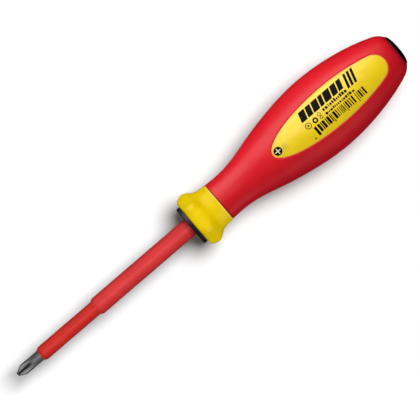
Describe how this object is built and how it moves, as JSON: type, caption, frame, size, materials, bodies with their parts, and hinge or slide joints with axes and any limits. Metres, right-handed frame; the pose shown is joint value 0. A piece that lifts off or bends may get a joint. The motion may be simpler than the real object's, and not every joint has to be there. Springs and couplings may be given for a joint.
{
  "type": "insulated screwdriver",
  "caption": "Insulated cross-tip screwdriver: sleeved steel blade fixed in a bellied soft-grip handle with a six-sided guard collar.",
  "frame": {"origin": "on the blade's axis, at the front face of the handle's black nose ring", "axes": "+X along the blade towards the tip, +Z out of the middle of the yellow label window"},
  "size_m": [0.1767, 0.0292, 0.0291],
  "materials": {
    "steel": "burnished, dark in the flutes",
    "front_red": "semi-gloss insulation",
    "rear_red": "semi-gloss insulation",
    "black": "satin",
    "yellow": "semi-gloss",
    "core": "as moulded",
    "grip_red": "soft-touch satin",
    "plate_yellow": "satin",
    "badge_black": "satin",
    "badge_cream": "satin"
  },
  "bodies": {
    "root": {"steel_blade": "steel", "inner_sleeve": "front_red", "outer_sleeve": "rear_red", "nose_ring": "black", "guard_collar": "yellow", "handle_core": "core", "grip_shell": "grip_red", "window_plate": "plate_yellow", "badge_disc": "badge_black", "badge_cross": "badge_cream", "end_cap": "black"}
  },
  "joints": []
}
